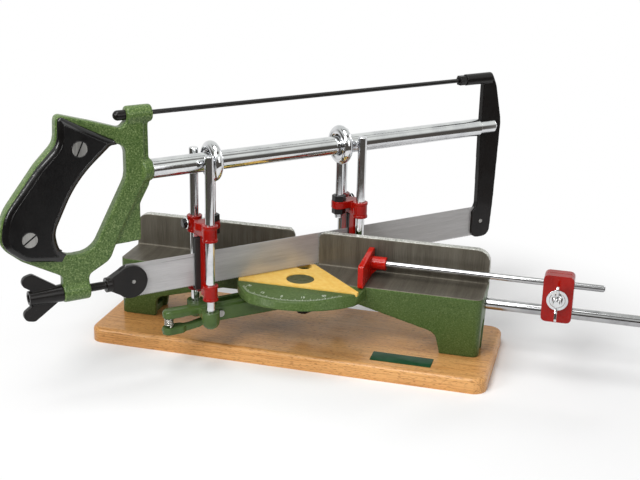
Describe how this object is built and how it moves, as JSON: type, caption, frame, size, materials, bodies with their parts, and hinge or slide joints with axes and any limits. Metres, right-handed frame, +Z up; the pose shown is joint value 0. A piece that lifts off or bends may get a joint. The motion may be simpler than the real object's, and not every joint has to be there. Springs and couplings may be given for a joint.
{
  "type": "mitre saw",
  "caption": "Hand mitre saw with a bow saw in lifting guides, a swing arm with index lever, a cast bed with fences on a wooden board, and a length stop",
  "frame": {"origin": "swing pivot axis at the underside of the board, centre of the resting face", "axes": "+X along the fence to the stop, +Y to the back, +Z up; the board's underside faces -Z"},
  "size_m": [0.7965, 0.5322, 0.3635],
  "materials": {
    "beech": "lacquered beech, grain along the length",
    "bed_green": "fine hammered green paint, ground bare iron on the table and the fence faces",
    "handle_green": "coarse hammered green paint",
    "arm_green": "glossy green paint",
    "signal_red": "glossy red paint",
    "stop_red": "glossy orange red paint",
    "chrome": "polished chrome",
    "blade_steel": "ground along the length",
    "screw_steel": "turned steel",
    "black_steel": "brownish black, half gloss",
    "grip_black": "moulded black, stippled field",
    "liner_black": "dull black",
    "insert_yellow": "golden yellow, dull",
    "olive": "dark olive"
  },
  "bodies": {
    "base": {"base_board": "beech", "bed_casting": "bed_green", "bed_screws": "screw_steel", "insert_plate": "insert_yellow", "insert_screw": "olive", "pivot_bolt": "screw_steel", "pivot_washer": "screw_steel", "pivot_nut": "screw_steel", "stop_rail": "chrome", "rail_screw": "screw_steel"},
    "arm": {"swing_arm": "arm_green", "post_front_near": "chrome", "post_front_far": "chrome", "post_rear_near": "chrome", "post_rear_far": "chrome", "lever_pin": "screw_steel", "lever_spring": "screw_steel"},
    "index_lever": {"index_lever": "arm_green"},
    "front_guide": {"front_guide": "signal_red", "front_liners": "liner_black", "front_eye": "chrome", "front_eye_nuts": "black_steel"},
    "rear_guide": {"rear_guide": "signal_red", "rear_liners": "liner_black", "rear_eye": "chrome", "rear_eye_nuts": "black_steel"},
    "front_lock": {"front_lock_screw": "grip_black"},
    "rear_lock": {"rear_lock_screw": "grip_black"},
    "saw": {"handle_casting": "handle_green", "grip_near": "grip_black", "grip_far": "grip_black", "grip_screws": "screw_steel", "frame_tube": "chrome", "tube_plug": "chrome", "bow_end": "black_steel", "tension_rod": "black_steel", "rod_cap_nut": "black_steel", "rod_lock_nut": "black_steel", "saw_blade": "blade_steel", "blade_holder": "black_steel", "blade_pins": "screw_steel"},
    "tension_nut": {"wing_nut": "black_steel"},
    "stop_clamp": {"clamp_front_jaw": "signal_red", "clamp_rear_jaw": "signal_red", "clamp_bolt": "chrome", "clamp_washer": "chrome"},
    "clamp_nut": {"clamp_wing_nut": "chrome"},
    "stop_arm": {"stop_rod": "chrome", "stop_plate": "stop_red"}
  },
  "joints": [
    {"name": "mitre_swing", "type": "hinge", "parent": "base", "child": "arm", "pos_m": [0, 0, 0.075], "axis": [0, 0, 1], "range_deg": [0, 90]},
    {"name": "lever_squeeze", "type": "hinge", "parent": "arm", "child": "index_lever", "pos_m": [-0.0944, -0.0944, 0.075], "axis": [0.7071, -0.7071, 0], "range_deg": [-5, 3.5], "stiffness_Nm_per_rad": 4.5, "deforming": ["lever_spring"]},
    {"name": "front_lift", "type": "slide", "parent": "arm", "child": "front_guide", "axis": [0, 0, 1], "range_m": [0, 0.08]},
    {"name": "rear_lift", "type": "slide", "parent": "arm", "child": "rear_guide", "axis": [0, 0, 1], "range_m": [0, 0.08]},
    {"name": "saw_stroke", "type": "slide", "parent": "front_guide", "child": "saw", "axis": [0.7071, 0.7071, 0], "range_m": [-0.19, 0.06]},
    {"name": "tension_turn", "type": "hinge", "parent": "saw", "child": "tension_nut", "pos_m": [-0.25456, -0.25456, 0.1373], "axis": [0.7071, 0.7071, 0], "continuous": true},
    {"name": "front_lock_turn", "type": "hinge", "parent": "front_guide", "child": "front_lock", "pos_m": [-0.13541, -0.10147, 0.194], "axis": [0.7071, 0.7071, 0], "continuous": true},
    {"name": "rear_lock_turn", "type": "hinge", "parent": "rear_guide", "child": "rear_lock", "pos_m": [0.04521, 0.07915, 0.194], "axis": [0.7071, 0.7071, 0], "continuous": true},
    {"name": "stop_slide", "type": "slide", "parent": "base", "child": "stop_clamp", "axis": [1, 0, 0], "range_m": [0, 0.12]},
    {"name": "stop_reach", "type": "slide", "parent": "stop_clamp", "child": "stop_arm", "axis": [1, 0, 0], "range_m": [0, 0.12]},
    {"name": "clamp_turn", "type": "hinge", "parent": "stop_clamp", "child": "clamp_nut", "pos_m": [0.3455, -0.027, 0.115], "axis": [0, 1, 0], "continuous": true}
  ],
  "couplings": [
    {"joint": "rear_lift", "follows": "front_lift", "ratio": 1}
  ]
}
